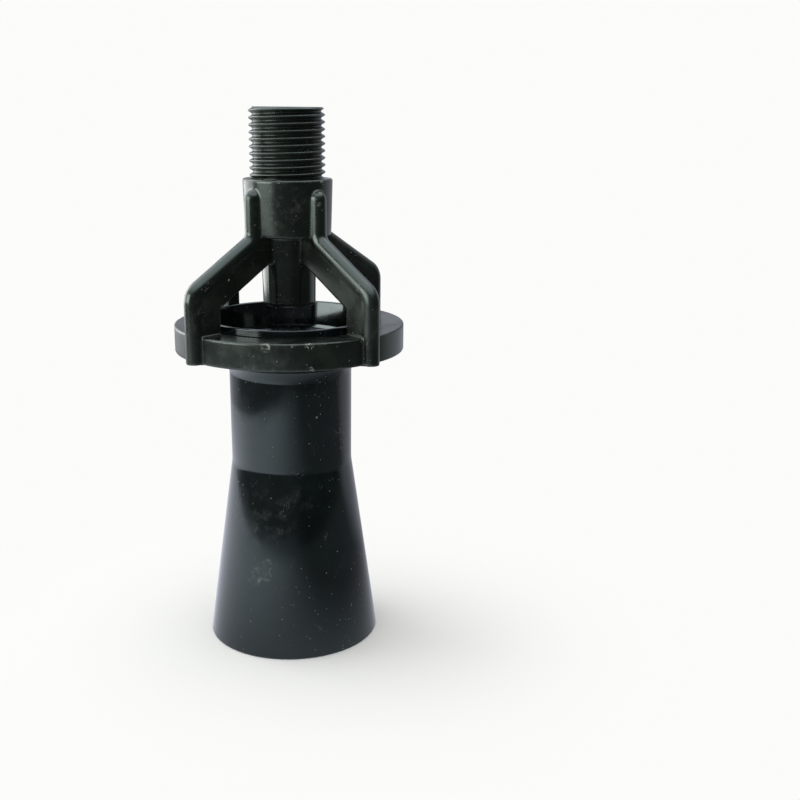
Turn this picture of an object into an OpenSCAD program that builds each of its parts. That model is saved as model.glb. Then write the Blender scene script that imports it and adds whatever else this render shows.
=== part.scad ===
// Jet eductor, moulded in polypropylene, standing on the mouth of its diffuser.
// Origin at the middle of the mouth's flat rim, +Z up the jet's axis to the threaded inlet, millimetres.

/* [Inlet] */
// Outside diameter of the male pipe thread, size 1/2
thread_d = 20.955; // [19:0.005:23]
// Length of the threaded spigot above the hub
thread_len = 19; // [12:0.1:26]
// Chamfer on the spigot's top edge
thread_chamfer = 0.8; // [0.3:0.1:1.5]
// Bore of the inlet
inlet_bore_d = 14; // [10:0.5:15]

/* [Hub and nozzle] */
// Diameter of the hub at its top
hub_top_d = 24.8; // [23.5:0.1:28]
// Diameter of the hub at its bottom, smaller by the mould's draft
hub_bottom_d = 23.8; // [22:0.1:28]
// Height of the hub
hub_h = 15.5; // [12:0.1:22]
// Rounding of the hub's edges
hub_edge = 0.6; // [0.2:0.1:1]
// Diameter of the nozzle at its tip
nozzle_tip_d = 14.8; // [12:0.1:17]
// Diameter of the nozzle where it leaves the hub
nozzle_root_d = 15.3; // [13:0.1:18]
// Fillet between the nozzle and the hub's underside
nozzle_fillet = 1.2; // [0.3:0.1:2]
// Bore of the jet orifice
orifice_d = 7; // [5:0.5:9]
// Straight length of the jet orifice
orifice_len = 7; // [3:0.5:12]
// Length of the cone that narrows the inlet bore to the orifice
convergence_len = 16; // [10:0.5:20]

/* [Arms] */
// Number of arms
arm_count = 4; // [3:1:5]
// Thickness of an arm's web
web_t = 4.2; // [3:0.1:5]
// Diameter of the round bead along an arm's outer edge
bead_d = 4.5; // [3.2:0.1:6]
// Distance of the bead's middle line outside the hub's lower edge
rib_stand_off = 0.55; // [0:0.05:1.5]
// Distance of the bead's middle line outside the ring's rim
foot_stand_off = 0.8; // [0.3:0.05:2]
// Slope of an arm below level
arm_slope = 31.3; // [25:0.1:40]
// Height of the outer knee above the ring's top, on the bead's middle line
knee_h = 11.2; // [8:0.1:16]
// Bend radius of the bead's middle line at both knees
knee_bend = 4; // [3:0.5:6]
// Depth of the arm's web below the sloping bead, measured upright
web_drop = 8.95; // [6:0.05:11]
// Rounding of the web's inner corner above the ring
web_corner = 1.5; // [0.5:0.1:3]
// Distance of the rib's top below the hub's top
rib_top_gap = 2.8; // [2.5:0.1:5]
// Height of the hub's underside above the inner knee
hub_over_knee = 0.8; // [0:0.1:3]

/* [Ring] */
// Outside diameter of the ring
ring_d = 64.7; // [62:0.1:70]
// Height of the ring
ring_h = 7.4; // [5.5:0.1:9]
// Thickness of the lip that the diffuser's flange seats under
lip_t = 3.5; // [2.5:0.1:4]
// Rounding of the ring's outer edges
ring_edge = 0.3; // [0.2:0.1:1.2]
// Rounding of the lip's upper edge, around the collar
lip_edge = 0.5; // [0.2:0.1:1]
// Lead-in chamfer of the flange's seat
seat_chamfer = 1; // [0.2:0.1:1.4]

/* [Diffuser] */
// Outside diameter of the mouth
mouth_d = 49.6; // [42:0.1:56]
// Height of the cone
cone_h = 52.8; // [40:0.1:65]
// Diameter of the waist, where the cone meets the barrel
waist_d = 34.7; // [32:0.1:37]
// Diameter of the barrel under the bell
barrel_d = 34.9; // [33:0.1:37]
// Height of the barrel from the waist to the bell's underside
barrel_h = 29.5; // [20:0.1:36]
// Wall of the barrel and of the cone
wall = 4.15; // [3:0.05:5]
// Rounding of the rim at the mouth
mouth_edge = 0.4; // [0.2:0.1:0.8]
// Radius of the soft bend at the waist
waist_bend = 15; // [8:1:20]
// Radius of the barrel's flare under the bell
neck_bend = 6; // [4:0.5:8]
// Growth of the barrel's radius over the flare
neck_flare = 1.25; // [0.5:0.05:2]

/* [Bell and bowl] */
// Diameter of the flange that seats in the ring
flange_d = 57.2; // [56:0.1:58.5]
// Thickness of the flange
flange_t = 4.3; // [4:0.1:6]
// Drop of the bell from the flange's underside to the barrel
bell_drop = 3; // [2:0.1:5]
// Level width of the bell's underside next to the neck
bell_land = 0.4; // [0.2:0.1:1.5]
// Level width of the flange's underside
flange_land = 1.7; // [1:0.1:2.5]
// Outside diameter of the collar that passes up through the ring
collar_d = 49.4; // [47:0.1:51]
// Height of the collar above the ring's top
collar_h = 2; // [1:0.1:4]
// Wall of the collar at its rim
collar_wall = 1.3; // [1:0.1:2.4]
// Draft of the bowl's wall, in degrees off upright
bowl_draft = 8.5; // [2:0.5:10]
// Depth of the bowl's wall below the collar's top
bowl_wall_h = 6.2; // [5:0.1:8]
// Rounding between the bowl's wall and its floor
bowl_round = 4.5; // [3:0.1:5]
// Rounding of the throat's edge in the bowl's floor
throat_round = 3; // [1.5:0.1:3.5]

/* [Fits] */
// Clearance around the flange and around the collar, on the radius
fit_gap = 0.25; // [0.1:0.05:0.5]
// Level of the nozzle's tip above the collar's top
suction_gap = 3; // [1:0.1:8]

/* [Hidden] */

$fn = 96;
arc_steps = 8;

// Heights, from the mouth up
neck_z = cone_h + barrel_h;
flange_z = neck_z + bell_drop;
seat_z = flange_z + flange_t;
ring_top_z = seat_z + lip_t;
ring_z = ring_top_z - ring_h;
collar_top_z = ring_top_z + collar_h;
tip_z = collar_top_z + suction_gap;

// Radii
hub_r = hub_bottom_d / 2;
nozzle_r = nozzle_tip_d / 2;
bead_r = bead_d / 2;
ring_r = ring_d / 2;
ring_bore_r = collar_d / 2 + fit_gap;
seat_r = flange_d / 2 + fit_gap;
barrel_r = barrel_d / 2;
waist_r = waist_d / 2;
mouth_r = mouth_d / 2;
throat_r = waist_r - wall;
bowl_r = collar_d / 2 - collar_wall;

// The bead's middle line: up the foot, over the outer knee, up the slope, round the inner knee, up the rib
foot_r = ring_r + foot_stand_off;
rib_r = hub_r + rib_stand_off;
outer_knee_z = ring_top_z + knee_h;
inner_knee_z = outer_knee_z + (foot_r - rib_r) * tan(arm_slope);
knee_turn = 90 - arm_slope;
knee_reach = knee_bend * tan(knee_turn / 2);
// The bends and the rib's round top are a hair thinner than the straight beads that they run into
bend_step = 0.05;
bend_lap = 3;
hub_z = inner_knee_z + hub_over_knee;
hub_top_z = hub_z + hub_h;
rib_top_z = hub_top_z - rib_top_gap;
top_z = hub_top_z + thread_len;

// Web: sunk into ring, hub and nozzle by the overlap, its inner edge as far outside the ring's bore
web_overlap = 0.6;
web_r = ring_bore_r + web_overlap;
web_foot_r = (seat_r + ring_r) / 2;
web_root_r = nozzle_r - web_overlap;
web_hub_r = hub_r - 2 * web_overlap;
web_foot_z = seat_z + lip_t / 2;

// Points on an arc about [x, y], turned from angle a to angle b
function arc(x, y, r, a, b) =
    [for (i = [0 : arc_steps]) let (t = a + (b - a) * i / arc_steps) [x + r * cos(t), y + r * sin(t)]];

// Height of the web's sloping lower edge at radius r
function web_edge_z(r) = outer_knee_z + (foot_r - r) * tan(arm_slope) - web_drop;

// Ring with its lip and the seat for the diffuser's flange
module ring() {
    rotate_extrude()
        polygon(concat(
            [[seat_r + seat_chamfer, ring_z]],
            arc(ring_r - ring_edge, ring_z + ring_edge, ring_edge, -90, 0),
            arc(ring_r - ring_edge, ring_top_z - ring_edge, ring_edge, 0, 90),
            arc(ring_bore_r + lip_edge, ring_top_z - lip_edge, lip_edge, 90, 180),
            [[ring_bore_r, seat_z], [seat_r, seat_z], [seat_r, ring_z + seat_chamfer]]
        ));
}

// Hub, threaded spigot and nozzle, still solid
module hub_and_nozzle() {
    root_r = nozzle_root_d / 2;
    hub_top_r = hub_top_d / 2;
    thread_r = thread_d / 2;
    rotate_extrude()
        polygon(concat(
            [[0, tip_z]],
            arc(nozzle_r - hub_edge, tip_z + hub_edge, hub_edge, -90, 0),
            arc(root_r + nozzle_fillet, hub_z - nozzle_fillet, nozzle_fillet, 180, 90),
            arc(hub_r - hub_edge, hub_z + hub_edge, hub_edge, -90, 0),
            arc(hub_top_r - hub_edge, hub_top_z - hub_edge, hub_edge, 0, 90),
            [[thread_r, hub_top_z], [thread_r, top_z - thread_chamfer]],
            [[thread_r - thread_chamfer, top_z], [0, top_z]]
        ));
}

// The way of the water: inlet bore, converging cone and jet orifice
module jet_passage() {
    cone_z = tip_z + orifice_len;
    inlet_z = cone_z + convergence_len;
    past = 1;
    rotate_extrude()
        polygon([
            [0, tip_z - past], [orifice_d / 2, tip_z - past], [orifice_d / 2, cone_z],
            [inlet_bore_d / 2, inlet_z], [inlet_bore_d / 2, top_z + past], [0, top_z + past]
        ]);
}

// Round bead bent about [x, z], from angle a over the knee's turn, with both ends inside the straight beads
module bead_bend(x, z, a) {
    translate([x, 0, z])
        rotate([90, 0, 0])
            rotate([0, 0, a - bend_lap])
                rotate_extrude(angle = knee_turn + 2 * bend_lap)
                    translate([knee_bend, 0])
                        circle(bead_r - bend_step);
}

// Round bead along an arm's outer edge, in the plane y = 0
module bead() {
    slope_len = (foot_r - rib_r) / cos(arm_slope) - 2 * knee_reach;
    translate([foot_r, 0, ring_z])
        cylinder(r = bead_r, h = outer_knee_z - knee_reach - ring_z);
    bead_bend(foot_r - knee_bend, outer_knee_z - knee_reach, 0);
    translate([foot_r, 0, outer_knee_z])
        rotate([0, arm_slope - 90, 0])
            translate([0, 0, knee_reach])
                cylinder(r = bead_r, h = slope_len);
    bead_bend(rib_r + knee_bend, inner_knee_z + knee_reach, 180);
    translate([rib_r, 0, inner_knee_z + knee_reach])
        cylinder(r = bead_r, h = rib_top_z - bead_r - inner_knee_z - knee_reach);
    translate([rib_r, 0, rib_top_z - bead_r])
        sphere(bead_r - bend_step);
}

// Flat web between the bead's middle line, the nozzle and the ring, in the plane y = 0
module web() {
    corner_z = web_edge_z(web_r);
    corner_reach = web_corner * tan(knee_turn / 2);
    rotate([90, 0, 0])
        linear_extrude(height = web_t, center = true)
            polygon(concat(
                [[foot_r, ring_z]],
                arc(foot_r - knee_bend, outer_knee_z - knee_reach, knee_bend, 0, knee_turn),
                arc(rib_r + knee_bend, inner_knee_z + knee_reach, knee_bend, 180 + knee_turn, 180),
                [[rib_r, rib_top_z - bead_r], [web_hub_r, rib_top_z - bead_r], [web_hub_r, hub_z + hub_edge]],
                [[web_root_r, hub_z + hub_edge], [web_root_r, web_edge_z(web_root_r)]],
                arc(web_r - web_corner, corner_z - corner_reach, web_corner, knee_turn, 0),
                [[web_r, web_foot_z], [web_foot_r, web_foot_z], [web_foot_r, ring_z]]
            ));
}

// Threaded inlet, hub, jet nozzle, arms and ring, moulded as one piece
module nozzle_body() {
    color([0.075, 0.085, 0.08])
        difference() {
            union() {
                hub_and_nozzle();
                ring();
                for (i = [0 : arm_count - 1])
                    rotate([0, 0, 360 / arm_count * (i + 0.5)]) {
                        web();
                        bead();
                    }
            }
            jet_passage();
        }
}

// Collar, bowl, bell, flange, barrel and cone, moulded as one piece
module diffuser() {
    flange_r = flange_d / 2;
    collar_r = collar_d / 2;
    collar_round = collar_wall / 4;
    // The barrel flares out to a crease, where the bell starts
    neck_r = barrel_r + neck_flare;
    flare_turn = acos(1 - neck_flare / neck_bend);
    flare_z = neck_z - neck_bend * sin(flare_turn);
    bell_in_r = neck_r + bell_land;
    bell_out_r = flange_r - flange_land;
    // Two equal arcs make the bell's S-shaped underside
    bell_run = bell_out_r - bell_in_r;
    bell_round = (bell_run * bell_run + bell_drop * bell_drop) / (4 * bell_drop);
    bell_turn = 2 * atan(bell_drop / bell_run);
    // Soft bend at the waist, between the cone's slope and the barrel's small taper
    cone_lean = atan((mouth_r - waist_r) / cone_h);
    barrel_lean = atan((barrel_r - waist_r) / (flare_z - cone_h));
    waist_reach = waist_bend * tan((cone_lean + barrel_lean) / 2);
    waist_x = waist_r + waist_reach * sin(cone_lean) + waist_bend * cos(cone_lean);
    waist_z = cone_h - waist_reach * cos(cone_lean) + waist_bend * sin(cone_lean);
    // The bowl's wall leans in from the rim's rounding to the rounding above its floor
    floor_z = collar_top_z - bowl_wall_h - bowl_round;
    lean_top_r = bowl_r + collar_round * (1 - cos(bowl_draft));
    lean_h = bowl_wall_h - collar_round + (bowl_round + collar_round) * sin(bowl_draft);
    lean_low_r = lean_top_r - lean_h * tan(bowl_draft);
    bowl_x = lean_low_r - bowl_round * cos(bowl_draft);
    color([0.075, 0.08, 0.09])
        rotate_extrude()
            polygon(concat(
                arc(mouth_r - mouth_edge, mouth_edge, mouth_edge, -90, 0),
                arc(waist_x, waist_z, waist_bend, 180 + cone_lean, 180 - barrel_lean),
                arc(barrel_r + neck_bend, flare_z, neck_bend, 180, 180 - flare_turn),
                arc(bell_in_r, neck_z + bell_round, bell_round, -90, bell_turn - 90),
                arc(bell_out_r, flange_z - bell_round, bell_round, 90 + bell_turn, 90),
                arc(flange_r - mouth_edge, flange_z + mouth_edge, mouth_edge, -90, 0),
                [[flange_r, seat_z], [collar_r, seat_z]],
                arc(collar_r - collar_round, collar_top_z - collar_round, collar_round, 0, 90),
                arc(bowl_r + collar_round, collar_top_z - collar_round, collar_round, 90, 180 - bowl_draft),
                arc(bowl_x, floor_z + bowl_round, bowl_round, -bowl_draft, -90),
                arc(throat_r + throat_round, floor_z - throat_round, throat_round, 90, 180),
                [[throat_r, cone_h], [mouth_r - wall, mouth_edge], [mouth_r - wall + mouth_edge, 0]]
            ));
}

nozzle_body();
diffuser();
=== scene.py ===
# %% [markdown]
# # A moulded jet eductor, dressed for its picture
# A jet eductor stirs or drains a tank with no moving part. Water under pressure comes in
# through the threaded end, leaves the nozzle as a jet, drags more of the tank's liquid in
# between the arms, and the mixture slows down in the flared tube below.
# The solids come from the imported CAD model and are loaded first, because every surface
# below has to lie where they are. All lengths in this file are millimetres, written as the
# drawing has them, and become metres only when a mesh is made.

import bpy
import numpy as np
from mathutils import Matrix


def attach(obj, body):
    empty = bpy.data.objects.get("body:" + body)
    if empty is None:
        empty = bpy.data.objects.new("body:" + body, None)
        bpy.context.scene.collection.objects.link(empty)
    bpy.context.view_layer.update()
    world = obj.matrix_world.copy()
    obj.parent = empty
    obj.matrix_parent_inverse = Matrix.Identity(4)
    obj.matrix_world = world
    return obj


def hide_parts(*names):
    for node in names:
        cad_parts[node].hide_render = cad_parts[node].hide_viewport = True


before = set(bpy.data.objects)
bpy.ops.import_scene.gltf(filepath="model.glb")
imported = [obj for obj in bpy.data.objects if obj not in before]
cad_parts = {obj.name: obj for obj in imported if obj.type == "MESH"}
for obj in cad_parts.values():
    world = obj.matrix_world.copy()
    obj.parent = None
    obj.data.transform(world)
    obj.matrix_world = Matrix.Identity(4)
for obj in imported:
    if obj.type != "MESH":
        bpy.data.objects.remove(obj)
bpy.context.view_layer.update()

MM = 0.001

# %% [markdown]
# ## Camera
# The picture was taken from a little above, at arm's length, with the eductor left of the
# middle. Where the rims, the arms and the foot lie in the picture gives the lens, the place
# and the tilt of the camera, so its axes are worked out from those angles and put into the
# camera's matrix. A camera looks along its own -Z, with +X to the right and +Y up.

# %% Camera from the fitted angles
LENS_PX, PICTURE_PX, SENSOR = 1103.1, 800, 36.0
CAMERA_BACK, CAMERA_UP = 311.21, 150.97
PITCH, YAW, ROLL, ORBIT = 0.2550, 0.1016, 0.0098, np.radians(4.94)

right = np.array([np.cos(YAW), -np.sin(YAW), 0.0])
ahead = np.array([np.cos(PITCH) * np.sin(YAW), np.cos(PITCH) * np.cos(YAW), -np.sin(PITCH)])
up = np.array([np.sin(PITCH) * np.sin(YAW), np.sin(PITCH) * np.cos(YAW), np.cos(PITCH)])
right, up = np.cos(ROLL) * right + np.sin(ROLL) * up, np.cos(ROLL) * up - np.sin(ROLL) * right
place = np.array([0.0, -CAMERA_BACK, CAMERA_UP]) * MM

camera = bpy.data.objects.new("camera", bpy.data.cameras.new("camera"))
camera.data.sensor_width = SENSOR
camera.data.lens = LENS_PX / PICTURE_PX * SENSOR
camera.data.clip_start = 0.01
pose = Matrix([[*row, p] for row, p in zip(np.stack([right, up, -ahead], 1), place)] + [[0, 0, 0, 1]])
camera.matrix_world = Matrix.Rotation(ORBIT, 4, "Z") @ pose
bpy.context.collection.objects.link(camera)
bpy.context.scene.camera = camera
print("camera at", [round(v, 4) for v in camera.matrix_world.translation], "lens", round(camera.data.lens, 2))

# %% [markdown]
# ## From arrays to a mesh
# Every new surface below ends as an array of points and an array of quads. Putting whole
# arrays into a mesh with foreach_set is far quicker than adding vertices one at a time, and
# it keeps the formula of a shape apart from Blender's bookkeeping. Each mesh also gets an
# attribute named rub, which says how sharply the surface turns outwards at each point:
# that is where handling wears a moulding first, so the finishes read it later.

# %% Helpers that turn arrays into pieces


def neighbour_mean(points, quads):
    """Mean of the points that share a quad's edge with each point."""
    ends = np.concatenate([quads[:, [k, (k + 1) % 4]] for k in range(4)])
    a, b = np.concatenate([ends[:, 0], ends[:, 1]]), np.concatenate([ends[:, 1], ends[:, 0]])
    count = np.bincount(a, minlength=len(points))
    sums = [np.bincount(a, points[b, k], len(points)) for k in range(3)]
    return np.stack(sums, 1) / count[:, None]


RUBBED_BULGE = 0.06


def make_piece(name, points, quads, node, handled=1.0):
    """Puts points (mm) and quads into a smooth mesh that rides on the body and stands for a solid. Its
    attribute rub is the bulge over the neighbours, which counts in full from RUBBED_BULGE (mm) on, times
    handled, the share of its edges that hands get at."""
    mesh = bpy.data.meshes.new(name)
    mesh.vertices.add(len(points))
    mesh.vertices.foreach_set("co", np.ravel(points * MM).astype(np.float32))
    mesh.loops.add(quads.size)
    mesh.loops.foreach_set("vertex_index", np.ravel(quads).astype(np.int32))
    mesh.polygons.add(len(quads))
    mesh.polygons.foreach_set("loop_start", np.arange(0, quads.size, 4, dtype=np.int32))
    mesh.update(calc_edges=True)
    mesh.shade_smooth()
    normals = np.empty(len(points) * 3, np.float32)
    mesh.vertices.foreach_get("normal", normals)
    bulge = ((points - neighbour_mean(points, quads)) * normals.reshape(-1, 3)).sum(1)
    rub = mesh.attributes.new("rub", "FLOAT", "POINT")
    rub.data.foreach_set("value", (handled * np.clip(bulge / RUBBED_BULGE, 0.0, 1.0)).astype(np.float32))
    piece = bpy.data.objects.new(name, mesh)
    bpy.context.collection.objects.link(piece)
    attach(piece, "root")
    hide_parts(node)
    print(name, "has", len(points), "points and", len(quads), "quads")
    return piece


square = np.array([[0.0, 0, 0], [1, 0, 0], [1, 1, 0], [0, 1, 0]])
print("a square's corners have their neighbours around", neighbour_mean(square, np.array([[0, 1, 2, 3]]))[0])

# %% [markdown]
# ## The cage as one moulding
# Hub, nozzle, four arms and ring come out of one mould, so the real piece has no joint
# between them, only small fillets where one runs into the next. Separate tubes pushed into
# each other would show hard creases there, and a boolean would need a bevel on edges that
# are hard to pick. Here each form is a distance field instead: a function that is negative
# inside, zero on the surface and positive outside. Two fields join with a fillet by one
# formula, so the fillets cost nothing. The arms look branched, which a single sheet of two
# parameters can't be, and this way gives one closed skin all the same.

# %% Joining and cutting distance fields


def join(a, b, radius):
    """Both solids. Where both distances are under the radius r, the corner between them turns into
    an arc: r minus the length of (r - a, r - b)."""
    u, v = np.maximum(radius - a, 0.0), np.maximum(radius - b, 0.0)
    return np.maximum(radius, np.minimum(a, b)) - np.hypot(u, v)


def keep(a, b, radius):
    """What lies in both solids, with the edge between them rounded by the same arc turned inside out."""
    return -join(-a, -b, radius)


def drum(r, z, low, high, low_r, high_r, edge):
    """A cone frustum about the axis: between two heights, and inside a radius that changes evenly
    from low_r to high_r. The two rims are rounded by edge."""
    lean = (high_r - low_r) / (high - low)
    side = (r - low_r - lean * (z - low)) / np.hypot(1.0, lean)
    return keep(keep(side, z - high, edge), low - z, edge)


print("a corner of two walls at 0.3 mm each, filled at 0.8 mm:", round(float(join(0.3, 0.3, 0.8)), 3))

# %% [markdown]
# ## The line of an arm
# An arm is a flat plate with a full-round outer edge. Its edge follows a line in the plate's
# own plane: up the foot beside the ring, over a knee, up the slope to the hub, round a
# second knee and up the hub as a rib that ends in a dome. The distance to that line is the
# least of five easy ones, three straight runs and two arcs. The plate itself is a polygon
# between that line, the nozzle and the ring.

# %% Distance from the arm's middle line and from its plate
RING_R, RING_TOP, RING_LOW, BORE_R = 32.35, 93.1, 85.7, 24.95
SEAT_R, SEAT_Z = 28.85, 89.6
HUB_R, HUB_TOP_R, NOZZLE_R, NOZZLE_TOP_R, TIP_Z = 11.9, 12.4, 7.4, 7.65, 98.1
FOOT_R, RIB_R, BEND, SLOPE = 33.15, 12.45, 4.0, np.radians(31.3)
KNEE_RISE, HUB_RISE, HUB_HEIGHT, RIB_STOP = 11.2, 0.8, 15.5, 2.8
WEB_DROP, WEB_INSET, CORNER, OVERRUN = 8.95, 0.6, 1.5, 3.0
KNEE_Z = RING_TOP + KNEE_RISE
TOP_KNEE_Z = KNEE_Z + (FOOT_R - RIB_R) * np.tan(SLOPE)
TURN = np.pi / 2 - SLOPE
REACH = BEND * np.tan(TURN / 2)
HUB_Z = TOP_KNEE_Z + HUB_RISE
HUB_TOP_Z = HUB_Z + HUB_HEIGHT
BEAD_R, HALF_WEB = 2.25, 2.1
RIB_END_Z = HUB_TOP_Z - RIB_STOP - BEAD_R
FOOT_END_Z = RING_LOW - OVERRUN
FOOT_BEND = np.array([FOOT_R - BEND, KNEE_Z - REACH])
RIB_BEND = np.array([RIB_R + BEND, TOP_KNEE_Z + REACH])


def on_arc(centre, radius, start, end, steps=12):
    """Points on an arc: centre + radius (cos a, sin a), with a going evenly from start to end."""
    a = np.linspace(start, end, steps + 1)
    return centre + radius * np.stack([np.cos(a), np.sin(a)], 1)


def from_run(s, z, a, b):
    """Distance from a straight run between a and b: the foot of the perpendicular, held between the ends."""
    d = b - a
    t = np.clip(((s - a[0]) * d[0] + (z - a[1]) * d[1]) / (d @ d), 0.0, 1.0)
    return np.hypot(s - a[0] - t * d[0], z - a[1] - t * d[1])


def from_bend(s, z, centre, radius, start, end):
    """Distance from an arc: the gap to its circle in front of it, and to its nearer end elsewhere."""
    half, middle = (end - start) / 2, (end + start) / 2
    ds, dz = s - centre[0], z - centre[1]
    along = ds * np.cos(middle) + dz * np.sin(middle)
    across = np.abs(dz * np.cos(middle) - ds * np.sin(middle))
    end_gap = np.hypot(along - radius * np.cos(half), across - radius * np.sin(half))
    return np.where(np.arctan2(across, along) < half, np.abs(np.hypot(ds, dz) - radius), end_gap)


def from_arm_line(s, z):
    """Distance from the arm's middle line, the least of its three runs and two bends."""
    knee = on_arc(FOOT_BEND, BEND, 0.0, TURN, 1)
    top_knee = on_arc(RIB_BEND, BEND, np.pi + TURN, np.pi, 1)
    gap = from_run(s, z, np.array([FOOT_R, FOOT_END_Z]), knee[0])
    gap = np.minimum(gap, from_bend(s, z, FOOT_BEND, BEND, 0.0, TURN))
    gap = np.minimum(gap, from_run(s, z, knee[1], top_knee[0]))
    gap = np.minimum(gap, from_bend(s, z, RIB_BEND, BEND, np.pi, np.pi + TURN))
    return np.minimum(gap, from_run(s, z, top_knee[1], np.array([RIB_R, RIB_END_Z])))


def from_polygon(x, y, corners):
    """Signed distance from a closed polygon: to its nearest edge, negative where an odd number of
    edges crosses the level line to the right."""
    gap, inside = np.inf, False
    for a, b in zip(corners, np.roll(corners, -1, 0)):
        gap = np.minimum(gap, from_run(x, y, a, b))
        if a[1] != b[1]:
            meets = x < a[0] + (y - a[1]) * (b[0] - a[0]) / (b[1] - a[1])
            inside = inside ^ (((a[1] > y) != (b[1] > y)) & meets)
    return np.where(inside, -gap, gap)


def web_edge(s):
    """Height of the plate's sloping lower edge at radius s: the line of the slope, less WEB_DROP."""
    return KNEE_Z + (FOOT_R - s) * np.tan(SLOPE) - WEB_DROP


WEB_R = BORE_R + WEB_INSET
IN_HUB, IN_NOZZLE, IN_RING = HUB_R - 2, NOZZLE_R - 1, RING_TOP - 2
corner_centre = np.array([WEB_R - CORNER, web_edge(WEB_R) - CORNER * np.tan(TURN / 2)])
outer_edge = [[FOOT_R, FOOT_END_Z], *on_arc(FOOT_BEND, BEND, 0.0, TURN),
              *on_arc(RIB_BEND, BEND, np.pi + TURN, np.pi), [RIB_R, RIB_END_Z]]
inner_edge = [[IN_HUB, RIB_END_Z], [IN_HUB, HUB_Z + 1],
              [IN_NOZZLE, HUB_Z + 1], [IN_NOZZLE, web_edge(IN_NOZZLE)]]
foot_edge = [*on_arc(corner_centre, CORNER, TURN, 0.0), [WEB_R, IN_RING],
             [FOOT_R - OVERRUN, IN_RING], [FOOT_R - OVERRUN, FOOT_END_Z]]
PLATE = np.array(outer_edge + inner_edge + foot_edge)
print("an arm's plate has", len(PLATE), "corners; its slope meets the rib at", round(float(TOP_KNEE_Z), 2))

# %% [markdown]
# ## The cage's whole field
# Four arms are one arm if space is folded: each point is turned to the nearest arm, so s
# says how far out along the arm it is and t how far to its side. Everything else is round
# and needs only the distance r from the axis. The order matters as in a workshop: join
# first, then cut the seat under the ring's lip and the way of the water, so that no fillet
# is left standing in either.

# %% The cage as one function of x, y and z
ARM_EDGE, BEAD_FILLET, FOOT_EDGE, ARM_FILLET = 0.5, 0.4, 0.4, 0.7
NOZZLE_EDGE, HUB_EDGE, HUB_FILLET, BORE_EDGE = 0.9, 0.5, 0.8, 0.4
RING_EDGE, RING_BORE_EDGE, RING_FILLET, SEAT_EDGE, LEAD_IN = 0.35, 0.5, 0.6, 0.3, 1.0
ORIFICE_R, INLET_R = 3.5, 7.0
JET_Z, INLET_Z = TIP_Z + 7, TIP_Z + 23


def cage_field(x, y, z):
    """Distance from the cage's skin: nozzle, hub, arms and ring joined with fillets, less seat and bore."""
    r = np.hypot(x, y)
    u, v = np.abs(x + y) / np.sqrt(2), np.abs(y - x) / np.sqrt(2)
    s, t = np.maximum(u, v), np.minimum(u, v)
    plate = keep(from_polygon(s, z, PLATE), t - HALF_WEB, ARM_EDGE)
    bead = np.hypot(from_arm_line(s, z), t) - BEAD_R
    arm = keep(join(plate, bead, BEAD_FILLET), RING_LOW - z, FOOT_EDGE)
    nozzle = drum(r, z, TIP_Z, HUB_Z + 2, NOZZLE_R, NOZZLE_TOP_R, NOZZLE_EDGE)
    hub = drum(r, z, HUB_Z, HUB_TOP_Z, HUB_R, HUB_TOP_R, HUB_EDGE)
    ring = keep(drum(r, z, RING_LOW, RING_TOP, RING_R, RING_R, RING_EDGE), BORE_R - r, RING_BORE_EDGE)
    body = join(join(join(nozzle, hub, HUB_FILLET), arm, ARM_FILLET), ring, RING_FILLET)
    lead_in = np.maximum((r + z - SEAT_R - LEAD_IN - RING_LOW) / np.sqrt(2), z - SEAT_Z)
    seat = np.minimum(np.maximum(r - SEAT_R, z - SEAT_Z), lead_in)
    bore = r - np.interp(z, [JET_Z, INLET_Z], [ORIFICE_R, INLET_R])
    return keep(keep(body, -seat, SEAT_EDGE), -bore, BORE_EDGE)


print("field on the axis in the nozzle:", round(float(cage_field(0.0, 0.0, 100.0)), 2), "mm, so open")

# %% [markdown]
# ## Skinning the field
# The field is sampled on a fine grid. Each cell that the skin passes gets one point, and
# each grid line that it crosses gets one quad between the four cells around it. That net
# is evenly fine but a little uneven, so it is combed twice: every point moves to the
# middle of its neighbours, and then back onto the exact skin along the field's slope.

# %% Net, combing and settling


def skin_net(field, low, step):
    """Points and quads of the field's zero surface on a grid that starts at low. A cell's point is the
    mean of the places where the surface crosses its edges."""
    places, cells = [], []
    for turn in range(3):
        order = [(turn + k) % 3 for k in range(3)]
        f = field.transpose(order)
        here, there = f[:-1, 1:-1, 1:-1], f[1:, 1:-1, 1:-1]
        i, j, k = np.nonzero((here < 0) != (there < 0))
        a, b = here[i, j, k], there[i, j, k]
        place = np.stack([i + a / (a - b), j + 1, k + 1], 1)
        corners = ((0, 0), (1, 0), (1, 1), (0, 1))
        around = np.stack([np.stack([i, j + dj, k + dk], 1) for dj, dk in corners], 1)
        around[a > 0] = around[a > 0][:, ::-1]
        back = np.argsort(order)
        places.append(place[:, back])
        cells.append(around[:, :, back])
    places, cells = np.concatenate(places), np.concatenate(cells)
    flat = np.ravel_multi_index(np.moveaxis(cells, -1, 0), field.shape)
    used, quads = np.unique(flat, return_inverse=True)
    quads = quads.reshape(flat.shape)
    count = np.bincount(quads.ravel())
    sums = [np.bincount(quads.ravel(), np.repeat(places[:, k], 4)) for k in range(3)]
    return low + step * np.stack(sums, 1) / count[:, None], quads


def settle(points, field, rounds=2, reach=0.02):
    """Moves each point onto the surface: value over slope, along the slope."""
    for _ in range(rounds):
        steps = [[(points + sign * reach * axis).T for sign in (1, -1)] for axis in np.eye(3)]
        slope = np.stack([field(*a) - field(*b) for a, b in steps], 1) / (2 * reach)
        points = points - slope * (field(*points.T) / np.maximum((slope ** 2).sum(1), 0.05))[:, None]
    return points


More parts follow.
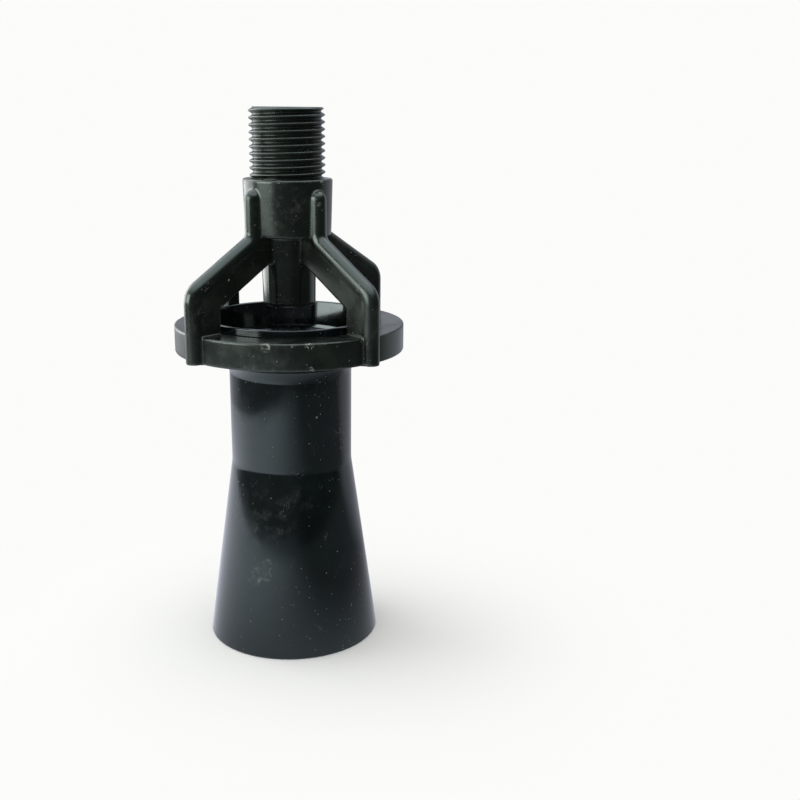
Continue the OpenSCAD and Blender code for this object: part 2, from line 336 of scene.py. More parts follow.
CELL, OUTERMOST, MARGIN = 0.42, 36.5, 1.5
half = (np.arange(int(OUTERMOST / CELL)) + 0.5) * CELL
heights = np.arange(RING_LOW - MARGIN, HUB_TOP_Z + MARGIN, CELL)
quarter = cage_field(half[:, None, None], half[None, :, None], heights[None, None, :])
both = np.concatenate([quarter[::-1], quarter])
samples = np.concatenate([both[:, ::-1], both], 1)
points, quads = skin_net(samples, np.array([-half[-1], -half[-1], heights[0]]), CELL)
for _ in range(2):
    points = settle(neighbour_mean(points, quads), cage_field, 1)
points = settle(points, cage_field)
cage = make_piece("cage_moulding", points, quads, "nozzle_body")

# %% [markdown]
# ## The pipe thread
# The inlet screws into a nozzle header with a half-inch pipe thread. A real thread is a
# V carried along a helix, so the radius is a function of two parameters: the angle round
# the spigot and the height. One turn later the V is one pitch higher, and a grid that
# closes on itself shows no seam. A screw modifier would do as well, but its ends would
# need trimming where the lead-in chamfer cuts the first turn. The bore inside is lined a
# hair wider than the cage's own bore, so that the two skins don't flicker in each other.

# %% Thread, top face and inlet bore as one closed grid


def grid_quads(columns, rows):
    """Quads of a grid that closes on itself both ways. Point (i, j) is number i * rows + j."""
    i, j = np.meshgrid(np.arange(columns), np.arange(rows), indexing="ij")
    after_i, after_j = (i + 1) % columns, (j + 1) % rows
    ring = [i * rows + j, after_i * rows + j, after_i * rows + after_j, i * rows + after_j]
    return np.stack(ring, -1).reshape(-1, 4)


THREAD_R, PITCH_MM, DEPTH, THREAD_H = 20.955 / 2, 1.905, 1.12, 19.0
FIRST_CREST, CHAMFER, SUNK, LIP, LINING = 0.13, 0.75, 0.4, 0.3, 0.02
TOP_Z = HUB_TOP_Z + THREAD_H


def thread_radius(angle, z):
    """Radius of the thread: crest less depth times a V that is 0 on the crest and 1 in the root, its tips
    softened by a sine; cut by a cone for the lead-in chamfer at the top."""
    turns = (TOP_Z - FIRST_CREST - z) / PITCH_MM + angle / (2 * np.pi)
    vee = 2 * np.abs(turns - np.round(turns))
    soft = vee - 0.5 * np.sin(2 * np.pi * vee) / (2 * np.pi)
    return np.minimum(THREAD_R - DEPTH * soft, THREAD_R - CHAMFER + (TOP_Z - z))


angle = np.linspace(0, 2 * np.pi, 192, endpoint=False)[:, None]
rise = np.linspace(HUB_TOP_Z - SUNK, TOP_Z, 165)
outer_r = thread_radius(angle, rise[None, :])
face = np.linspace(0.12, 1.0, 8)
lined_r = INLET_R + LINING
face_r = outer_r[:, -1:] + (lined_r + LIP - outer_r[:, -1:]) * face[None, :]
lip = on_arc(np.array([lined_r + LIP, TOP_Z - LIP]), LIP, np.pi / 2, np.pi, 5)[1:]
bore_z = np.linspace(TOP_Z - LIP - 0.2, HUB_TOP_Z - SUNK, 24)
inside_r = np.concatenate([lip[:, 0], np.full(len(bore_z), lined_r)])
inside_z = np.concatenate([lip[:, 1], bore_z])
thread_r = np.concatenate([outer_r, face_r, np.tile(inside_r, (len(angle), 1))], 1)
thread_z = np.concatenate([rise, np.full(len(face), TOP_Z), inside_z])
level = np.tile(thread_z, (len(angle), 1))
points = np.stack([thread_r * np.cos(angle), thread_r * np.sin(angle), level], -1)
quads = grid_quads(*thread_r.shape)
thread = make_piece("inlet_thread", points.reshape(-1, 3), quads, "nozzle_body", handled=0.3)

# %% [markdown]
# ## The diffuser
# Collar, bowl, bell and flared tube are one turned shape: a profile carried round the axis.
# The profile is written as a lathe hand would read it, arcs for the roundings and straight
# runs between them. A run gets two points close to its ends, so that smooth shading keeps
# flats flat and lets only the roundings bend the light.

# %% Straight runs, and carrying a profile round the axis


def run(a, b, step=1.5, hold=0.12):
    """Points on a straight run from a to b, about step apart, with one close to each end. Where two arcs
    meet there is no run, only their common point."""
    a, b = np.array(a, float), np.array(b, float)
    length = np.hypot(*(b - a))
    if length < 2 * hold:
        return np.stack([a, b])
    inner = np.linspace(hold, length - hold, max(2, int(length / step)))
    t = np.concatenate([[0.0], inner, [length]]) / length
    return a + t[:, None] * (b - a)


def turned_points(profile, angles):
    """Carries a profile of (radius, height) points round the axis: (r cos a, r sin a, z)."""
    r, z = profile.T
    c, s = np.cos(angles)[:, None], np.sin(angles)[:, None]
    return np.stack([r * c, r * s, np.broadcast_to(z, (len(angles), len(z)))], -1).reshape(-1, 3)


print("a run of 4 mm gets", len(run((0, 0), (4, 0))), "points")

# %% [markdown]
# ## The diffuser's profile
# The list goes once round the wall, the way a finger would: up the outside from the mouth
# over the waist, out along the bell to the flange, over its seat to the collar's rim, and
# back down through the bowl and the throat. Each bend is an arc whose centre follows from
# the sizes above it. The bell is two arcs that meet halfway with the same slope, and the
# bowl's wall leans by the draft that lets the moulding leave its core.

# %% Profile of the diffuser
QUARTER = np.pi / 2
MOUTH_R, WAIST_R, BARREL_R, WALL = 24.8, 17.35, 17.45, 4.15
WAIST_Z, NECK_Z, FLANGE_Z, COLLAR_TOP = 52.8, 82.3, 85.3, 95.1
FLANGE_R, COLLAR_R, BOWL_R, THROAT_R = 28.6, 24.7, 23.4, WAIST_R - WALL
WAIST_BEND, NECK_BEND, NECK_FLARE, BOWL_ROUND, THROAT_ROUND = 15.0, 6.0, 1.25, 4.5, 3.0
MOUTH_EDGE, INNER_EDGE, FLANGE_EDGE, STEP_EDGE, SEAT_GAP = 0.4, 0.3, 0.4, 0.2, 0.05
RIM_ROUND, DRAFT, BOWL_DEPTH, BELL_START, BELL_STOP = 0.325, np.radians(8.5), 6.2, 0.4, 1.7
flare_turn = np.arccos(1 - NECK_FLARE / NECK_BEND)
flare_z = NECK_Z - NECK_BEND * np.sin(flare_turn)
step_z = SEAT_Z - SEAT_GAP
bowl_z = COLLAR_TOP - BOWL_DEPTH
lean_top = BOWL_R + RIM_ROUND * (1 - np.cos(DRAFT))
lean_h = BOWL_DEPTH - RIM_ROUND + (BOWL_ROUND + RIM_ROUND) * np.sin(DRAFT)
bowl_x = lean_top - lean_h * np.tan(DRAFT) - BOWL_ROUND * np.cos(DRAFT)
throat_z = bowl_z - BOWL_ROUND - THROAT_ROUND
cone_lean = np.arctan((MOUTH_R - WAIST_R) / WAIST_Z)
barrel_lean = np.arctan((BARREL_R - WAIST_R) / (flare_z - WAIST_Z))
waist_reach = WAIST_BEND * np.tan((cone_lean + barrel_lean) / 2)
waist = np.array([WAIST_R + waist_reach * np.sin(cone_lean) + WAIST_BEND * np.cos(cone_lean),
                  WAIST_Z - waist_reach * np.cos(cone_lean) + WAIST_BEND * np.sin(cone_lean)])
bell_in, bell_out = BARREL_R + NECK_FLARE + BELL_START, FLANGE_R - BELL_STOP
bell_run, bell_drop = bell_out - bell_in, FLANGE_Z - NECK_Z
bell_r = (bell_run ** 2 + bell_drop ** 2) / (4 * bell_drop)
bell_turn = 2 * np.arctan(bell_drop / bell_run)

bends = [
    on_arc(np.array([MOUTH_R - MOUTH_EDGE, MOUTH_EDGE]), MOUTH_EDGE, -QUARTER, 0.0, 6),
    on_arc(waist, WAIST_BEND, np.pi + cone_lean, np.pi - barrel_lean, 16),
    on_arc(np.array([BARREL_R + NECK_BEND, flare_z]), NECK_BEND, np.pi, np.pi - flare_turn, 14),
    on_arc(np.array([bell_in, NECK_Z + bell_r]), bell_r, -QUARTER, bell_turn - QUARTER, 12),
    on_arc(np.array([bell_out, FLANGE_Z - bell_r]), bell_r, QUARTER + bell_turn, QUARTER, 12),
    on_arc(np.array([FLANGE_R - FLANGE_EDGE, FLANGE_Z + FLANGE_EDGE]), FLANGE_EDGE, -QUARTER, 0.0, 6),
    on_arc(np.array([FLANGE_R - STEP_EDGE, step_z - STEP_EDGE]), STEP_EDGE, 0.0, QUARTER, 4),
    on_arc(np.array([COLLAR_R + STEP_EDGE, step_z + STEP_EDGE]), STEP_EDGE, -QUARTER, -np.pi, 4),
    on_arc(np.array([COLLAR_R - RIM_ROUND, COLLAR_TOP - RIM_ROUND]), RIM_ROUND, 0.0, QUARTER, 7),
    on_arc(np.array([BOWL_R + RIM_ROUND, COLLAR_TOP - RIM_ROUND]), RIM_ROUND, QUARTER, np.pi - DRAFT, 7),
    on_arc(np.array([bowl_x, bowl_z]), BOWL_ROUND, -DRAFT, -QUARTER, 16),
    on_arc(np.array([THROAT_R + THROAT_ROUND, throat_z]), THROAT_ROUND, QUARTER, np.pi, 14),
    np.array([[THROAT_R, WAIST_Z]]),
    on_arc(np.array([MOUTH_R - WALL + INNER_EDGE, INNER_EDGE]), INNER_EDGE, np.pi, np.pi + QUARTER, 5)]
runs = [run(a[-1], b[0]) for a, b in zip(bends, bends[1:] + bends[:1])]
profile = np.concatenate([np.concatenate([bend[:-1], straight[:-1]]) for bend, straight in zip(bends, runs)])
profile = profile[np.hypot(*(profile - np.roll(profile, 1, 0)).T) > 0.001]
angles = np.linspace(0, 2 * np.pi, 288, endpoint=False)
points, quads = turned_points(profile, angles), grid_quads(len(angles), len(profile))
diffuser = make_piece("diffuser_moulding", points, quads, "diffuser")

# %% [markdown]
# ## Building blocks for finishes
# Both mouldings are black polypropylene. What makes such a part look real lies on top of
# the black: an uneven skin, dust, smears from handling, fine scratches and rubbed edges.
# Each of these is a node group of its own, so both finishes can share it, and a group only
# hands out masks and heights. The shader itself stays in the material, where a reader can
# see at once what the light meets. All of them read the place on the object in metres, so
# a speck keeps its size on every piece.

# %% Helpers for node trees


def node(tree, kind, sockets, out=0, **settings):
    """Adds a shader node. Sockets maps an input's name or number to a value, or to a socket to link."""
    new = tree.nodes.new("ShaderNode" + kind)
    for key, value in settings.items():
        setattr(new, key, value)
    for key, value in sockets.items():
        if isinstance(value, bpy.types.NodeSocket):
            tree.links.new(value, new.inputs[key])
        else:
            new.inputs[key].default_value = value
    return new.outputs[out]


def maths(tree, operation, *values):
    """A Math node on up to three values."""
    return node(tree, "Math", dict(enumerate(values)), operation=operation)


def ramp(tree, value, low, high, to_low=0.0, to_high=1.0):
    """Maps low..high smoothly onto to_low..to_high and holds the ends."""
    sockets = {"Value": value, "From Min": low, "From Max": high, "To Min": to_low, "To Max": to_high}
    return node(tree, "MapRange", sockets, interpolation_type="SMOOTHSTEP")


def noise(tree, place, scale, detail=2.0):
    """Fractal noise around 0.5, with scale in waves per metre."""
    return node(tree, "TexNoise", {"Vector": place, "Scale": scale, "Detail": detail})


def stretch(tree, place, factors):
    """The place multiplied along each axis, which stretches any pattern that is read there."""
    return node(tree, "VectorMath", {0: place, 1: factors}, operation="MULTIPLY")


def new_group(name, inputs, outputs):
    """An empty node group with float outputs. Inputs maps names to socket types."""
    tree = bpy.data.node_groups.new(name, "ShaderNodeTree")
    for label, kind in inputs.items():
        tree.interface.new_socket(label, in_out="INPUT", socket_type="NodeSocket" + kind)
    for label in outputs:
        tree.interface.new_socket(label, in_out="OUTPUT", socket_type="NodeSocketFloat")
    return tree, tree.nodes.new("NodeGroupInput").outputs, tree.nodes.new("NodeGroupOutput").inputs


def use(tree, group, **sockets):
    """Places a node group and returns its outputs by name."""
    new = tree.nodes.new("ShaderNodeGroup")
    new.node_tree = group
    for key, value in sockets.items():
        if isinstance(value, bpy.types.NodeSocket):
            tree.links.new(value, new.inputs[key])
        else:
            new.inputs[key].default_value = value
    return new.outputs


helpers = (node, maths, ramp, noise, stretch, new_group, use)
print("helpers for node trees:", ", ".join(helper.__name__ for helper in helpers))

# %% [markdown]
# ## The moulded skin
# A mould is polished by hand, so its walls are never quite flat: over a finger's breadth
# they wave by a few hundredths of a millimetre, and the plastic shrinks a little unevenly on top.
# Reflections bend over those waves, which the eye reads as plastic at once. A finer grain
# breaks the gloss. Heights are given in metres, so a bump with distance 1 has true slopes.

# %% Node group: waves and grain of a moulded wall
WAVES_PER_M, WAVE_H, GRAINS_PER_M, GRAIN_H = 55.0, 2.2e-5, 1500.0, 1.6e-6
skin, given, gives = new_group("moulded_skin", {"Place": "Vector"}, ["Height", "Mottle"])
waves = maths(skin, "MULTIPLY", noise(skin, given["Place"], WAVES_PER_M, 1.0), WAVE_H)
grain = maths(skin, "MULTIPLY", noise(skin, given["Place"], GRAINS_PER_M, 3.0), GRAIN_H)
skin.links.new(maths(skin, "ADD", waves, grain), gives["Height"])
skin.links.new(ramp(skin, noise(skin, given["Place"], 130.0, 5.0), 0.35, 0.7), gives["Mottle"])
print("group", skin.name, "with", len(skin.nodes), "nodes")

# %% [markdown]
# ## Dust
# Dust sits as separate specks. A Voronoi texture scatters one point into every cell of
# space, so the distance to the nearest point, cut off short, gives round specks. Each cell
# also has a random colour: its red decides whether the cell keeps its speck, by a limit,
# and its green how large the speck is. A coarse noise moves the limit, because dust gathers
# in some places and is wiped off in others.

# %% Node group: scattered specks
LARGEST_SPECK = 0.24
dust_inputs = {"Place": "Vector", "Scale": "Float", "Share": "Float"}
dust, given, gives = new_group("settled_dust", dust_inputs, ["Mask"])
spots = dust.nodes.new("ShaderNodeTexVoronoi")
dust.links.new(given["Place"], spots.inputs["Vector"])
dust.links.new(given["Scale"], spots.inputs["Scale"])
chance = node(dust, "SeparateColor", {"Color": spots.outputs["Color"]})
size = maths(dust, "MULTIPLY", chance.node.outputs["Green"], LARGEST_SPECK)
gathered = ramp(dust, noise(dust, given["Place"], 45.0, 3.0), 0.38, 0.66, 0.15, 1.6)
kept = maths(dust, "LESS_THAN", chance, maths(dust, "MULTIPLY", given["Share"], gathered))
speck = maths(dust, "LESS_THAN", spots.outputs["Distance"], size)
dust.links.new(maths(dust, "MULTIPLY", kept, speck), gives["Mask"])
print("group", dust.name, "with", len(dust.nodes), "nodes")

# %% [markdown]
# ## Smears and hairlines
# A smear is a cloudy film where a thumb or a wet cloth went, so it has a middle, a reach
# and streaks. A drop that dries leaves its dirt at the rim, so its mark is an uneven ring.
# A hairline is a scratch no wider than a hair. Noise read in stretched coordinates has long
# thin islands, and the narrow band where it passes its middle value is a thin line. A
# second noise cuts those lines into short lengths.

# %% Node groups: a smear round a place, a dried drop, and short hairlines
STREAKS_PER_M, HAIR_BAND = (2600.0, 2600.0, 700.0), 0.006
MARK_INPUTS = {"Place": "Vector", "Middle": "Vector", "Reach": "Float", "Grain": "Float"}
smear, given, gives = new_group("smear", MARK_INPUTS, ["Mask"])
gap = node(smear, "VectorMath", {0: given["Place"], 1: given["Middle"]}, "Value", operation="DISTANCE")
fade = ramp(smear, maths(smear, "DIVIDE", gap, given["Reach"]), 0.3, 1.0, 1.0, 0.0)
cloud = ramp(smear, noise(smear, given["Place"], given["Grain"], 6.0), 0.45, 0.7)
drawn = stretch(smear, given["Place"], STREAKS_PER_M)
streak = ramp(smear, noise(smear, drawn, 1.0, 4.0), 0.45, 0.75)
film = maths(smear, "MULTIPLY", cloud, maths(smear, "ADD", 0.35, streak))
smear.links.new(maths(smear, "MULTIPLY", fade, film), gives["Mask"])

drop, given, gives = new_group("dried_drop", MARK_INPUTS, ["Mask"])
gap = node(drop, "VectorMath", {0: given["Place"], 1: given["Middle"]}, "Value", operation="DISTANCE")
uneven = maths(drop, "MULTIPLY_ADD", noise(drop, given["Place"], given["Grain"], 4.0), 2.4, -1.2)
share = maths(drop, "ADD", maths(drop, "DIVIDE", gap, given["Reach"]), uneven)
rim = ramp(drop, maths(drop, "ABSOLUTE", maths(drop, "SUBTRACT", share, 0.8)), 0.0, 0.2, 1.0, 0.0)
inside = ramp(drop, share, 0.7, 0.9, 0.4, 0.0)
broken = ramp(drop, noise(drop, given["Place"], 900.0, 4.0), 0.4, 0.65, 0.0, 1.0)
drop.links.new(maths(drop, "MULTIPLY", maths(drop, "ADD", rim, inside), broken), gives["Mask"])

hairs, given, gives = new_group("hairlines", {"Place": "Vector", "Grain": "Vector"}, ["Mask"])
islands = noise(hairs, stretch(hairs, given["Place"], given["Grain"]), 1.0, 1.0)
off_middle = maths(hairs, "ABSOLUTE", maths(hairs, "SUBTRACT", islands, 0.5))
line = ramp(hairs, off_middle, 0.0, HAIR_BAND, 1.0, 0.0)
length = ramp(hairs, noise(hairs, given["Place"], 190.0, 2.0), 0.56, 0.66)
hairs.links.new(maths(hairs, "MULTIPLY", line, length), gives["Mask"])
print("groups", smear.name, drop.name, "and", hairs.name)

# %% [markdown]
# ## Rubbed edges and parting lines
# Handling dulls outward edges first, and unevenly, so the attribute rub is broken up by a
# noise. Where the mould's halves meet, a fine ridge is left on the plastic. Its height is a
# narrow bump across the plane in which the halves meet, and the group only needs the
# distance from that plane.

# %% Node groups: worn edges, and the ridge of a parting line
wear, given, gives = new_group("rubbed_edges", {"Place": "Vector", "Rub": "Float"}, ["Dull", "Nick"])
edge = ramp(wear, given["Rub"], 0.3, 0.9)
patchy = ramp(wear, noise(wear, given["Place"], 210.0, 4.0), 0.4, 0.62)
wear.links.new(maths(wear, "MULTIPLY", edge, patchy), gives["Dull"])
spot = ramp(wear, noise(wear, given["Place"], 330.0, 2.0), 0.66, 0.7)
wear.links.new(maths(wear, "MULTIPLY", ramp(wear, given["Rub"], 0.1, 0.5), spot), gives["Nick"])

RIDGE_CREST, RIDGE_FOOT, RIDGE_H = 4e-5, 1.6e-4, 2.5e-5
parting, given, gives = new_group("parting_line", {"Distance": "Float"}, ["Height"])
ridge = ramp(parting, maths(parting, "ABSOLUTE", given["Distance"]), RIDGE_CREST, RIDGE_FOOT, RIDGE_H, 0.0)
parting.links.new(ridge, gives["Height"])
print("groups", wear.name, "and", parting.name)

# %% [markdown]
# ## Two black plastics
# The cage is a satin black with a trace of green. The tube is glossier and a trace bluer,
# so it mirrors the table while the cage only glows. Black plastic sends back about one
# part in two hundred of the light, and nearly all that is seen on it is reflection: that is
# why its base colour is so low and why roughness carries most of the detail. The trace of
# colour is given to the reflection too, by the specular tint, or it would be lost in it.

# %% One recipe for both batches
FINE_DUST, COARSE_DUST, COARSE_SHARE = 1300.0, 480.0, 0.05
FILM_GRAIN, DROP_GRAIN, NICK_GRAIN = 420.0, 260.0, 1500.0
FILM_GREY, WORN_GREY, NICK_GREY = (0.1, 0.105, 0.1), (0.035, 0.038, 0.037), (0.16, 0.165, 0.16)
SCRATCH_GREY, DUST_GREY, CHIP_GREY = (0.12, 0.125, 0.12), (0.3, 0.3, 0.28), (0.5, 0.5, 0.46)
SPECK_H, NICK_DEPTH, MOTTLED = 3e-5, 4e-5, 1.7
POLISHED_R, MOULDED_R, POLISH = 8.2e-3, 9.2e-3, 0.16
PLASTIC_IOR = 1.49


def summed_marks(tree, place, group, grain, marks):
    """The sum of one mask per mark. A mark is its middle in mm, its reach in mm and its strength; grain is
    the fineness of its outline, in waves per metre."""
    total = 0.0
    for middle, reach, strength in marks:
        centre = tuple(v * MM for v in middle)
        mask = use(tree, group, Place=place, Middle=centre, Reach=reach * MM, Grain=grain)["Mask"]
        total = maths(tree, "MULTIPLY_ADD", mask, strength, total)
    return total


def tint(tree, below, above, mask, share):
    """Lays a colour over another where the mask is, by share."""
    factor = maths(tree, "MULTIPLY", mask, share)
    return node(tree, "Mix", {0: factor, 6: below, 7: (*above, 1.0)}, 2, data_type="RGBA")


def black_plastic(name, colour, sheen, gloss, parting_plane, hair_grain, dust_share, smears, drops, nicks):
    """Black moulded plastic. Sheen tints what it mirrors, and gloss is the roughness of its clean and of its
    mottled places. Near the axis, on the nozzle, the mould was polished. The parting plane is (a, b) in
    a x + b y = 0. Each layer below is a mask, a colour, its share and the roughness that it adds."""
    material = bpy.data.materials.new(name)
    material.use_nodes = True
    tree = material.node_tree
    place = node(tree, "TexCoord", {}, "Object")
    rub = node(tree, "Attribute", {}, "Fac", attribute_name="rub")
    mould = use(tree, skin, Place=place)
    fine = use(tree, dust, Place=place, Scale=FINE_DUST, Share=dust_share)["Mask"]
    coarse = use(tree, dust, Place=place, Scale=COARSE_DUST, Share=dust_share * COARSE_SHARE)["Mask"]
    specks = maths(tree, "MAXIMUM", fine, coarse)
    scratch = use(tree, hairs, Place=place, Grain=hair_grain)["Mask"]
    worn = use(tree, wear, Place=place, Rub=rub)
    side = node(tree, "VectorMath", {0: place, 1: (*parting_plane, 0.0)}, "Value", operation="DOT_PRODUCT")
    seam = use(tree, parting, Distance=side)["Height"]
    smeared = summed_marks(tree, place, smear, FILM_GRAIN, smears)
    film = maths(tree, "ADD", smeared, summed_marks(tree, place, drop, DROP_GRAIN, drops))
    chipped = summed_marks(tree, place, smear, NICK_GRAIN, nicks)
    flat = stretch(tree, place, (1.0, 1.0, 0.0))
    off_axis = node(tree, "VectorMath", {0: flat}, "Value", operation="LENGTH")
    polished = ramp(tree, off_axis, POLISHED_R, MOULDED_R, POLISH, 0.0)

    look = tint(tree, (*colour, 1.0), [MOTTLED * c for c in colour], mould["Mottle"], 1.0)
    rough = maths(tree, "SUBTRACT", ramp(tree, mould["Mottle"], 0.0, 1.0, *gloss), polished)
    layers = [(film, FILM_GREY, 1.0, 0.04), (worn["Dull"], WORN_GREY, 0.6, 0.18),
              (worn["Nick"], NICK_GREY, 0.55, 0.3), (scratch, SCRATCH_GREY, 0.35, 0.2),
              (specks, DUST_GREY, 0.4, 0.4), (chipped, CHIP_GREY, 1.0, 0.0)]
    for mask, grey, share, rougher in layers:
        look = tint(tree, look, grey, mask, share)
        rough = maths(tree, "MULTIPLY_ADD", mask, rougher, rough)
    relief = maths(tree, "ADD", mould["Height"], seam)
    relief = maths(tree, "MULTIPLY_ADD", specks, SPECK_H, relief)
    relief = maths(tree, "MULTIPLY_ADD", worn["Nick"], -NICK_DEPTH, relief)
    bump = node(tree, "Bump", {"Height": relief, "Distance": 1.0, "Strength": 1.0})
    shader = tree.nodes["Principled BSDF"]
    tree.links.new(look, shader.inputs["Base Color"])
    tree.links.new(rough, shader.inputs["Roughness"])
    tree.links.new(bump, shader.inputs["Normal"])
    shader.inputs["IOR"].default_value = PLASTIC_IOR
    shader.inputs["Specular Tint"].default_value = (*sheen, 1.0)
    print(name, "finish has", len(tree.nodes), "nodes")
    return material


print("finish recipe ready, with index of refraction", PLASTIC_IOR)

# %% [markdown]
# ## Where each batch is marked
# Smears lie where hands hold the part, on the hub, the arms and the ring, and where water
# ran down the cone. The ring's edge has a few nicks from knocks, and two drops dried on the
# lower cone. The mould of the cage parts through two opposite arms, that of the tube
# through its sides.

# %% Cage black and tube black
ARM_PLANE, SIDE_PLANE = (0.7071, -0.7071), (-0.09, 0.996)
cage_black = black_plastic(
    "cage_plastic", colour=(0.0045, 0.0062, 0.0048), sheen=(0.82, 1.0, 0.88), gloss=(0.24, 0.33),
    parting_plane=ARM_PLANE, hair_grain=(140.0, 140.0, 600.0), dust_share=0.11,
    smears=[((-1, -12, 126), 9, 0.5), ((20, -24, 100), 8, 0.3),
            ((-4, -32, 90), 10, 0.3), ((-25, -23, 99), 8, 0.25)],
    drops=[],
    nicks=[((-3.6, -31.9, 92.4), 1.9, 1.5), ((3.5, -31.9, 92.6), 0.9, 1.0),
           ((7.5, -31.2, 92.6), 1.5, 1.5), ((7.8, -31.4, 86.1), 1.2, 1.5)])
tube_black = black_plastic(
    "diffuser_plastic", colour=(0.0016, 0.003, 0.003), sheen=(0.82, 0.97, 0.93), gloss=(0.08, 0.13),
    parting_plane=SIDE_PLANE, hair_grain=(420.0, 420.0, 110.0), dust_share=0.2,
    smears=[((-6, -18.6, 41), 11, 0.3), ((3.7, -18, 45.6), 6, 0.2), ((4, 6, 88), 26, 0.5)],
    drops=[((-7.6, -19.8, 25.2), 3.2, 0.4), ((-10, -19.2, 22.2), 2.4, 0.4)],
    nicks=[])
cage.data.materials.append(cage_black)
thread.data.materials.append(cage_black)
diffuser.data.materials.append(tube_black)

# %% [markdown]
# ## Table and light
# Glossy black shows its surroundings more than itself. The eductor stood on a white sheet
# some 60 cm across, bright towards the window and dim on the other side, with a dim
# room beyond it. The sheet's edge is what ends the pale field on the barrel and begins the
# dark one on top of the cone. So the floor has two parts: a wide one that the camera sees
# and that holds the shadow, and the round sheet, which only reflections see. The light has
# two parts as well. Two windows, far left and front left, only draw highlights, and one
# soft lamp and the world's even level light the floor just below white. For the camera the
# floor fades into the white of the backdrop away from the foot, so no horizon shows.

# %% A disc on the ground, and the floor


def disc(name, middle, radius, mirrored_only):
    """A level disc on the ground, as part of the set, and the tree of its material. A disc that is mirrored
    only shows in reflections and nowhere else; any other one shows everywhere but there."""
    rim = on_arc(np.array(middle), radius, 0.0, 2 * np.pi, 128)[:-1]
    mesh = bpy.data.meshes.new(name)
    mesh.from_pydata([(x, y, 0.0) for x, y in rim], [], [tuple(range(len(rim)))])
    thing = bpy.data.objects.new(name, mesh)
    bpy.context.collection.objects.link(thing)
    thing.visible_glossy = mirrored_only
    for rays in ("camera", "diffuse", "transmission", "shadow"):
        setattr(thing, "visible_" + rays, not mirrored_only)
    paper = bpy.data.materials.new(name)
    paper.use_nodes = True
    mesh.materials.append(paper)
    return paper.node_tree


BACKDROP, FLOOR_WHITE = (0.97, 0.975, 0.96, 1.0), (0.96, 0.965, 0.955, 1.0)
FLOOR_R, FADE = 20.0, (0.015, 0.11)
tree = disc("floor", (0.0, 0.0), FLOOR_R, False)
paper = tree.nodes["Principled BSDF"]
paper.inputs["Base Color"].default_value = FLOOR_WHITE
paper.inputs["Roughness"].default_value = 0.9
paper.inputs["Specular IOR Level"].default_value = 0.0
away = node(tree, "VectorMath", {0: node(tree, "TexCoord", {}, "Object")}, "Value", operation="LENGTH")
to_camera = tree.nodes.new("ShaderNodeLightPath").outputs["Is Camera Ray"]
far = maths(tree, "MULTIPLY", ramp(tree, away, *FADE), to_camera)
white = node(tree, "Emission", {"Color": BACKDROP, "Strength": 1.0})
blend = node(tree, "MixShader", {0: far, 1: paper.outputs[0], 2: white})
tree.links.new(blend, tree.nodes["Material Output"].inputs["Surface"])
print("floor of", FLOOR_R, "m, which fades to white from", FADE[0], "to", FADE[1], "m from the axis")

# %% [markdown]
# ## What the black mirrors
# A mirror image needs no light to fall on anything: the sheet simply glows as bright as it
# looked, twice as bright as paper on the window's side and a tenth of that on the other.
# The world is white for the camera, an even daylight for whatever it lights, and a dim room
# with a pale wall behind and a bright ceiling for reflections. Light Path tells the three
# apart, so each can be set by itself.

# %% Sheet and world
SHEET_MIDDLE, SHEET_R, COOL_WHITE = (0.035, 0.005), 0.295, (0.86, 0.88, 1.0, 1.0)
SKY_WHITE, DAYLIGHT, CEILING = (0.87, 0.9, 1.0, 1.0), 0.87, 3.6
tree = disc("sheet", SHEET_MIDDLE, SHEET_R, True)
across = node(tree, "SeparateXYZ", {0: node(tree, "TexCoord", {}, "Object")})
behind = across.node.outputs["Y"]
from_window = ramp(tree, across, -0.16, 0.13, 2.0, 0.22)
bright = maths(tree, "MULTIPLY", ramp(tree, behind, 0.0, 0.25, 1.0, 0.4), from_window)
bright = maths(tree, "MAXIMUM", bright, ramp(tree, behind, 0.0, 0.12, 0.0, 0.6))
glow = node(tree, "Emission", {"Color": COOL_WHITE, "Strength": bright})
tree.links.new(glow, tree.nodes["Material Output"].inputs["Surface"])

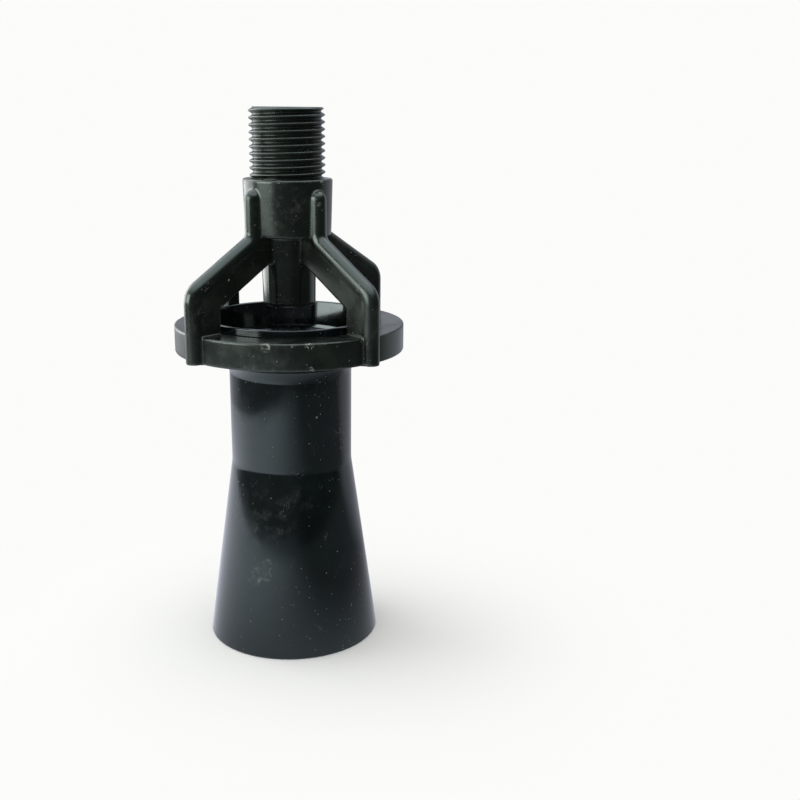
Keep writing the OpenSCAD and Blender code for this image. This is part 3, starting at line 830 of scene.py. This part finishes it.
world = bpy.data.worlds.new("studio")
bpy.context.scene.world = world
world.use_nodes = True
tree = world.node_tree
rays = tree.nodes.new("ShaderNodeLightPath").outputs
heading = node(tree, "SeparateXYZ", {0: node(tree, "TexCoord", {}, "Generated")}).node.outputs
room = ramp(tree, heading["X"], -0.1, 0.5, 0.2, 0.07)
wall = ramp(tree, heading["X"], 0.0, 0.9, 0.65, 0.62)
mirrored = node(tree, "Mix", {0: ramp(tree, heading["Y"], 0.1, 0.5), 2: room, 3: wall})
mirrored = node(tree, "Mix", {0: ramp(tree, heading["Z"], 0.5, 0.9), 2: mirrored, 3: CEILING})
seen = maths(tree, "MAXIMUM", rays["Is Camera Ray"], rays["Is Transmission Ray"])
level = node(tree, "Mix", {0: rays["Is Glossy Ray"], 2: DAYLIGHT, 3: mirrored})
level = node(tree, "Mix", {0: seen, 2: level, 3: 1.0})
backdrop = tree.nodes["Background"]
hue = node(tree, "Mix", {0: rays["Is Glossy Ray"], 6: BACKDROP, 7: SKY_WHITE}, 2, data_type="RGBA")
tree.links.new(hue, backdrop.inputs["Color"])
tree.links.new(level, backdrop.inputs["Strength"])
print("sheet of", SHEET_R, "m and world of daylight", DAYLIGHT)

# %% [markdown]
# ## Windows and lamp
# The two windows are only seen in the plastic, as long soft highlights down the arms, the
# hub and the nozzle. The lamp stands high on the same side and only lights, which lays a
# short soft shadow to the right of the foot. Levels are in watts, as Blender wants them
# for area lamps.

# %% Two windows and one soft lamp


def window(name, where, aim, size, watts, mirrored_only):
    """A soft window: an area lamp at where (m) that faces aim. One that is mirrored only shows in
    reflections and casts no shadow; any other one only lights."""
    lamp = bpy.data.lights.new(name, "AREA")
    lamp.shape, lamp.size, lamp.size_y, lamp.energy = "RECTANGLE", *size, watts
    holder = bpy.data.objects.new(name, lamp)
    away = np.array(where, float) - np.array(aim, float)
    away = away / np.linalg.norm(away)
    side = np.cross([0, 0, 1], away)
    side = side / np.linalg.norm(side)
    axes = np.stack([side, np.cross(away, side), away], 1)
    holder.matrix_world = Matrix([[*row, p] for row, p in zip(axes, where)] + [[0, 0, 0, 1]])
    holder.visible_glossy, holder.visible_diffuse = mirrored_only, not mirrored_only
    bpy.context.collection.objects.link(holder)


window("left_window", (-0.66, 0.37, 0.42), (0, 0, 0.4), (0.76, 0.9), 9.0, True)
window("front_window", (-0.66, -0.42, 0.29), (0, 0, 0.2), (0.62, 0.46), 7.7, True)
window("soft_lamp", (-0.5, 0.15, 0.75), (0, 0, 0), (0.6, 0.6), 2.6, False)
bpy.context.scene.view_settings.view_transform = "Standard"
print("floor, sheet, world and", len(bpy.data.lights), "lamps, of which two are windows")
